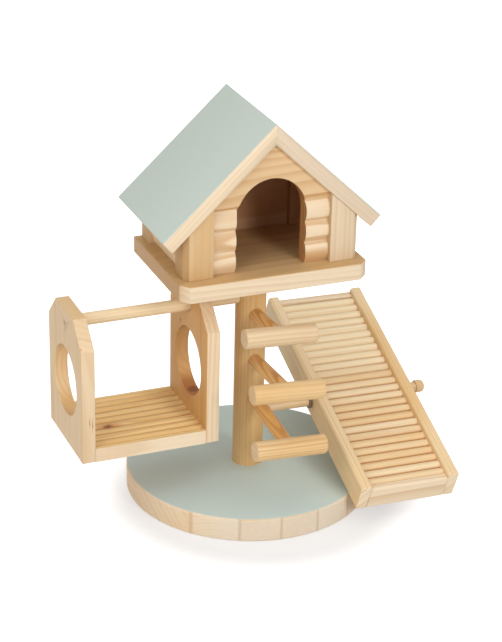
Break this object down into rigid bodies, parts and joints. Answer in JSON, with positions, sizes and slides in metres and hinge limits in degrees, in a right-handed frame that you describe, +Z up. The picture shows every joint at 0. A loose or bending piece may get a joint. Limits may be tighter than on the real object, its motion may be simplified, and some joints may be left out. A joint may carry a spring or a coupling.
{
  "type": "small animal play house",
  "caption": "Wooden play stand for hamsters and other small pets: log house with saddle roof on a post, hanging swing, stepped perches and a seesaw ramp.",
  "frame": {"origin": "middle of the round base's underside, on the post's axis", "axes": "+Z up along the post, the house door and perches face -Y, the swing is at -X, the seesaw at +X"},
  "size_m": [0.3158, 0.2127, 0.328],
  "materials": {
    "pine": "bare, sanded",
    "dowel": "bare, turned",
    "painted_wood": "matt paint on top",
    "rubber": "matt"
  },
  "bodies": {
    "stand": {"base": "painted_wood", "post": "dowel", "deck": "pine", "house_post_front_left": "pine", "house_post_front_right": "pine", "house_post_back_left": "pine", "house_post_back_right": "pine", "front_wall": "pine", "back_wall": "pine", "left_wall": "pine", "right_wall": "pine", "roof_left": "painted_wood", "roof_right": "painted_wood", "perch_stem_upper": "dowel", "perch_stem_middle": "dowel", "perch_stem_lower": "dowel", "perch_bar_upper": "pine", "perch_bar_middle": "pine", "perch_bar_lower": "pine", "swing_dowel": "dowel", "seesaw_axle": "dowel", "axle_knob": "pine", "stop_ring_inner": "rubber", "stop_ring_outer": "rubber"},
    "swing": {"swing_board_left": "pine", "swing_board_right": "pine", "swing_floor": "pine"},
    "seesaw": {"seesaw_rail_left": "pine", "seesaw_rail_right": "pine", "seesaw_floor": "pine", "seesaw_end_front": "pine", "seesaw_end_back": "pine"}
  },
  "joints": [
    {"name": "swing_hinge", "type": "hinge", "parent": "stand", "child": "swing", "pos_m": [-0.1, 0, 0.169], "axis": [1, 0, 0], "range_deg": [-45, 45]},
    {"name": "seesaw_hinge", "type": "hinge", "parent": "stand", "child": "seesaw", "pos_m": [0.09897, 0, 0.06301], "axis": [-0.9997, 0, 0.0262], "range_deg": [0, 42.72]}
  ]
}
